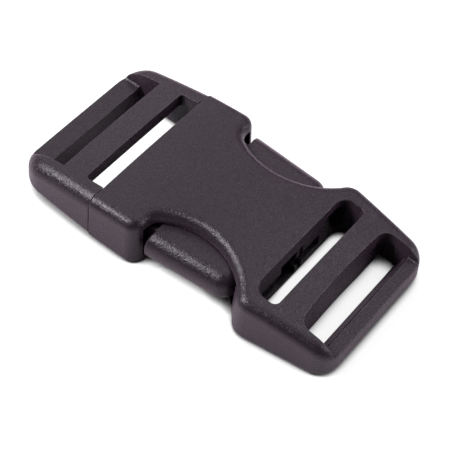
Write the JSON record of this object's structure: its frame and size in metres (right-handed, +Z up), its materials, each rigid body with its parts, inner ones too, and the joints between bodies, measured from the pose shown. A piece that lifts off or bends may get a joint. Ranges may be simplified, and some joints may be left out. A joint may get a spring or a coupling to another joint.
{
  "type": "side-release webbing buckle",
  "caption": "Side-release buckle for 25 mm webbing with a ladder lock at each end; squeeze the side pads and the plug slides out of the socket.",
  "frame": {"origin": "middle of the closed buckle, on the plane of its underside", "axes": "+X along the strap towards the socket's ladder lock, +Y across the strap, +Z up through the crowned top"},
  "size_m": [0.0673, 0.0346, 0.0105],
  "materials": {
    "black_plastic": "fine spark-eroded matt, slightly satin on rolled edges"
  },
  "bodies": {
    "socket": {"socket_body": "black_plastic"},
    "plug": {"plug_frame": "black_plastic", "guide_tongue": "black_plastic"},
    "left_arm": {"latch_arm_left": "black_plastic"},
    "right_arm": {"latch_arm_right": "black_plastic"}
  },
  "joints": [
    {"name": "plug_slide", "type": "slide", "parent": "socket", "child": "plug", "axis": [-1, 0, 0], "range_m": [0, 0.03], "deforming": ["latch_arm_left", "latch_arm_right"]},
    {"name": "left_latch", "type": "hinge", "parent": "plug", "child": "left_arm", "pos_m": [-0.0131, 0.0114, 0.00495], "axis": [0, 0, -1], "range_deg": [0, 10], "stiffness_Nm_per_rad": 1.8},
    {"name": "right_latch", "type": "hinge", "parent": "plug", "child": "right_arm", "pos_m": [-0.0131, -0.0114, 0.00495], "axis": [0, 0, 1], "range_deg": [0, 10], "stiffness_Nm_per_rad": 1.8}
  ]
}
